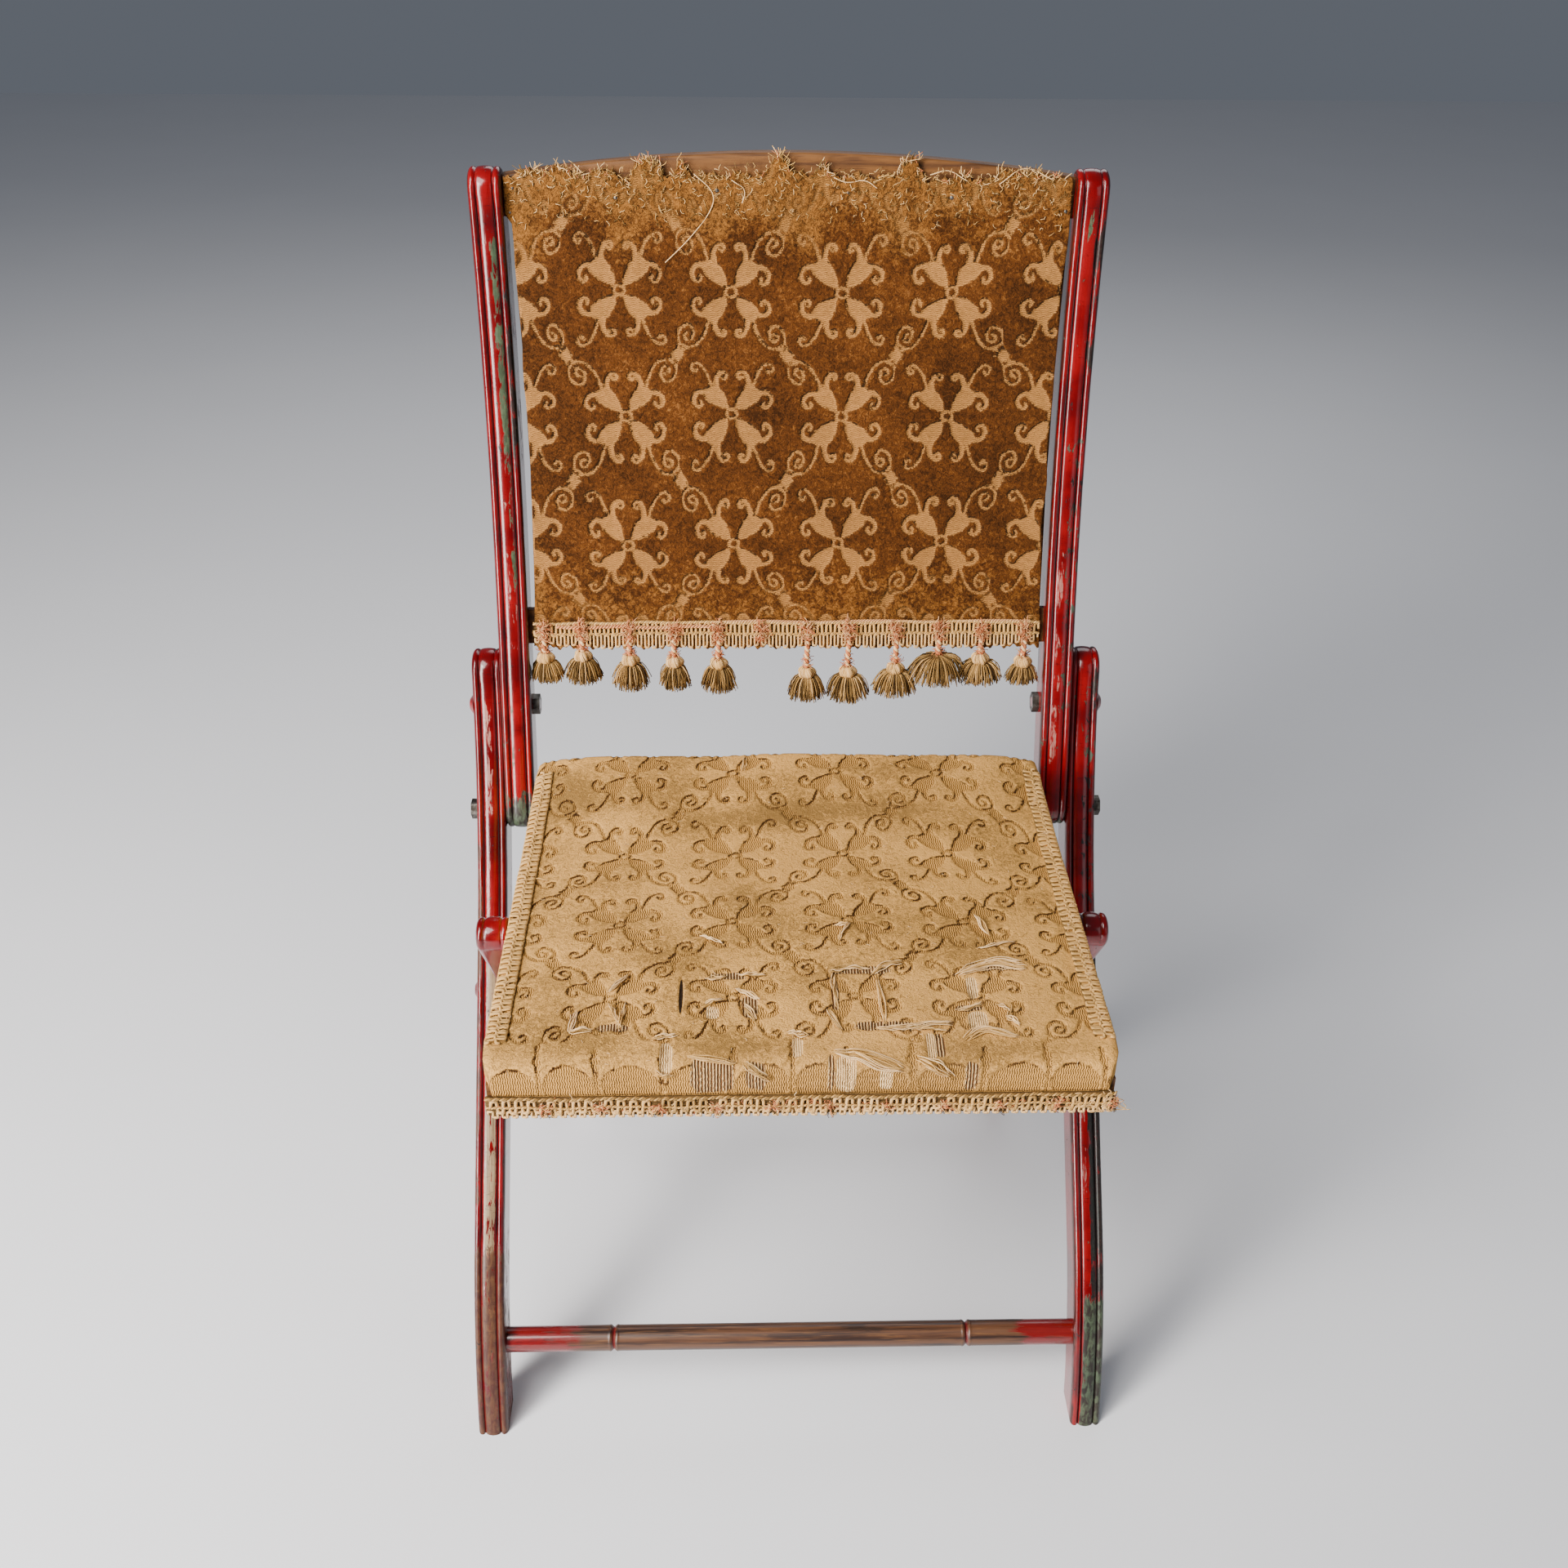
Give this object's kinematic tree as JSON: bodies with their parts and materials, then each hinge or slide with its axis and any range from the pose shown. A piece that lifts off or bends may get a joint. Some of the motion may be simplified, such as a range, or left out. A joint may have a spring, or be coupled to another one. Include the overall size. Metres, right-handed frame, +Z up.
{
  "type": "folding side chair",
  "caption": "Folding side chair with crossed, reeded ogee legs, a raked velvet back with tassels, and a velvet seat that hinges up as the legs close",
  "frame": {"origin": "on the floor, under the middle of the chair's width and depth as it stands open", "axes": "+Z is up, the chair faces -Y, and +X runs to the right of someone who looks at it from the front"},
  "size_m": [0.4964, 0.4748, 0.875],
  "materials": {
    "lacquered_wood": "glossy crimson lacquer over turned and moulded wood, with dark lines in the grooves and worn patches",
    "worn_wood": "brown-red lacquer, rubbed and darkened",
    "bare_wood": "plain beech or walnut, waxed, unlacquered",
    "patterned_velvet": "stamped velvet, brown ground with tan ribbed motifs",
    "seat_velvet": "faded tan velvet, worn to the backing in places",
    "lining_cloth": "plain woven lining cloth",
    "woven_trim": "straw-coloured woven braid and looped gimp",
    "tassel_yarn": "cut olive-brown yarn with twisted cords",
    "jute_webbing": "coarse jute tape",
    "lacquered_metal": "steel bolt heads lacquered over with the wood",
    "steel_hardware": "plain dull steel"
  },
  "bodies": {
    "front_frame": {"front_leg_left": "lacquered_wood", "front_leg_right": "lacquered_wood", "front_stretcher": "worn_wood", "back_stile_left": "lacquered_wood", "back_stile_right": "lacquered_wood", "crest_rail": "bare_wood", "lower_back_rail": "bare_wood", "back_cover": "patterned_velvet", "back_lining": "lining_cloth", "back_band": "woven_trim", "back_tassels": "tassel_yarn", "back_bolts": "lacquered_metal", "back_bolt_nuts": "steel_hardware", "seat_hinge_rod": "steel_hardware", "seat_hinge_nuts": "steel_hardware", "seat_hinge_spacers": "bare_wood", "cross_pivot_bolts": "lacquered_metal", "cross_pivot_nuts": "steel_hardware", "cross_pivot_washers": "steel_hardware"},
    "rear_frame": {"rear_leg_left": "lacquered_wood", "rear_leg_right": "lacquered_wood", "rear_stretcher": "worn_wood", "seat_rest_rod": "worn_wood"},
    "seat": {"seat_side_rail_left": "bare_wood", "seat_side_rail_right": "bare_wood", "seat_front_rail": "bare_wood", "seat_rear_rail": "bare_wood", "seat_corner_blocks": "bare_wood", "seat_hook_block_left": "bare_wood", "seat_hook_block_right": "bare_wood", "seat_webbing": "jute_webbing", "seat_cushion": "seat_velvet", "seat_cover": "seat_velvet", "seat_braid_left": "woven_trim", "seat_braid_right": "woven_trim", "seat_fringe": "woven_trim"}
  },
  "joints": [
    {"name": "leg_fold", "type": "hinge", "parent": "front_frame", "child": "rear_frame", "pos_m": [0, 0.03719, 0.282], "axis": [-1, 0, 0], "range_deg": [0, 52]},
    {"name": "seat_fold", "type": "hinge", "parent": "front_frame", "child": "seat", "pos_m": [0, 0.11311, 0.403], "axis": [-1, 0, 0], "range_deg": [0, 57.2]}
  ],
  "couplings": [
    {"joint": "seat_fold", "follows": "leg_fold", "ratio": 1.1}
  ]
}
